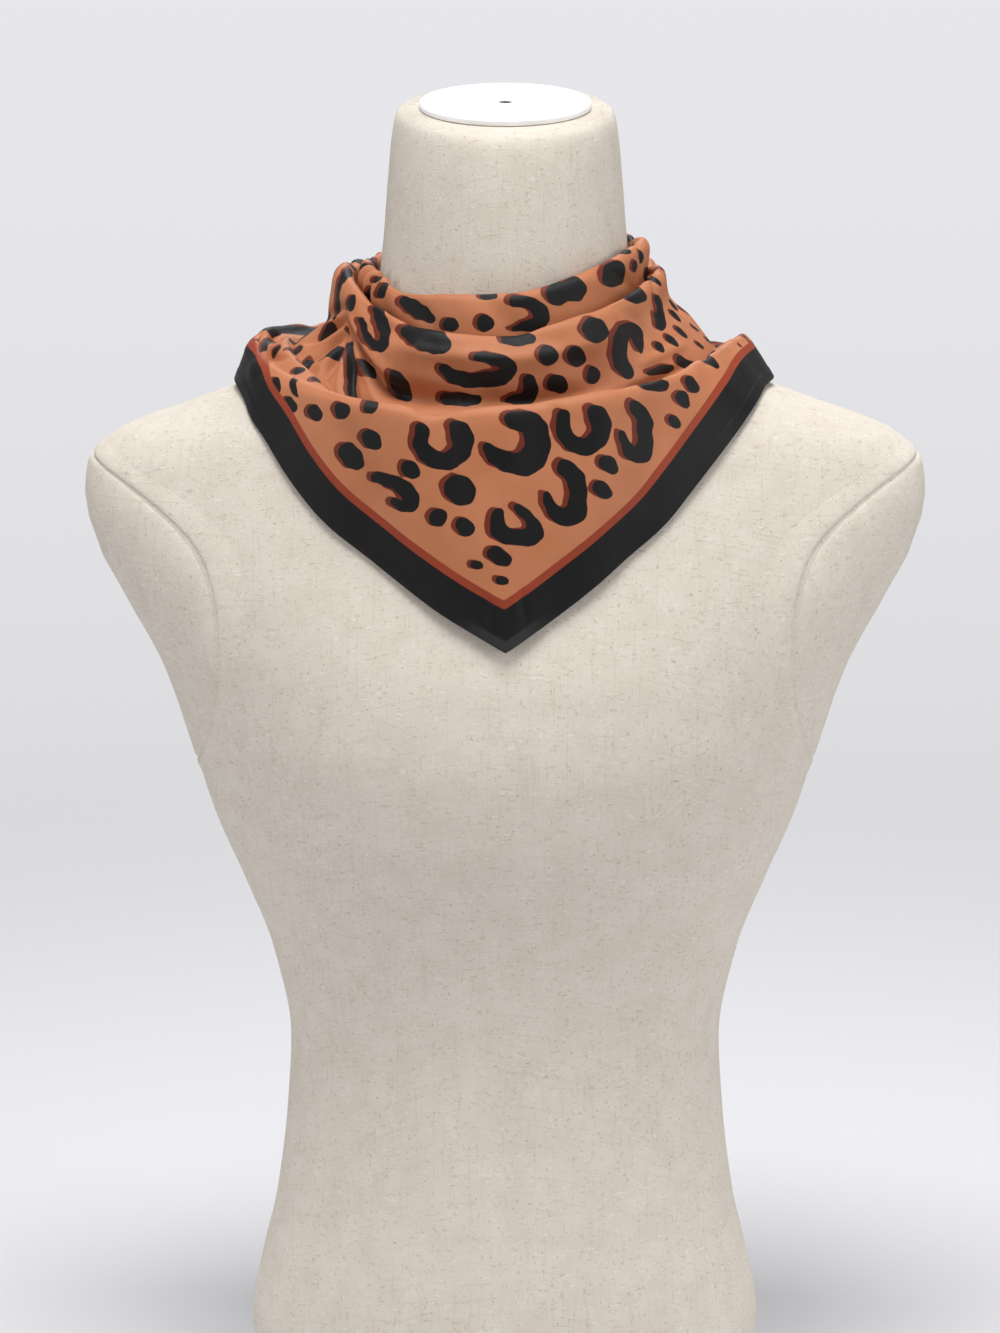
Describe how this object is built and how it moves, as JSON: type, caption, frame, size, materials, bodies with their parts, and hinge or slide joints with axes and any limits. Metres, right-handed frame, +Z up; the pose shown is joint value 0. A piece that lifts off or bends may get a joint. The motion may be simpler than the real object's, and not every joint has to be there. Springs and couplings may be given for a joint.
{
  "type": "silk square scarf on a limbless dress form",
  "caption": "Square silk neck scarf with an animal-spot print and dark border, folded to a point in front and tied at the nape of a linen-covered half-body dress form.",
  "frame": {"origin": "middle of the underside of the form's base", "axes": "+Z up along the form, -Y out of its front, +X to the right as it is seen from the front"},
  "size_m": [0.405, 0.212, 0.6499],
  "materials": {
    "linen": "coarse natural linen, matt, with fine slubs",
    "plastic": "smooth white moulded plastic",
    "silk": "satin-woven silk, printed tan with black spots, rust line and black border"
  },
  "bodies": {
    "root": {"form_torso": "linen", "form_arm_cap_left": "linen", "form_arm_cap_right": "linen", "form_base": "plastic", "neck_disc": "plastic", "scarf_neck_roll": "silk", "scarf_middle_fold": "silk", "scarf_front_point": "silk", "scarf_back_left": "silk", "scarf_back_right": "silk", "scarf_knot": "silk", "scarf_end_left": "silk", "scarf_end_right": "silk"}
  },
  "joints": []
}
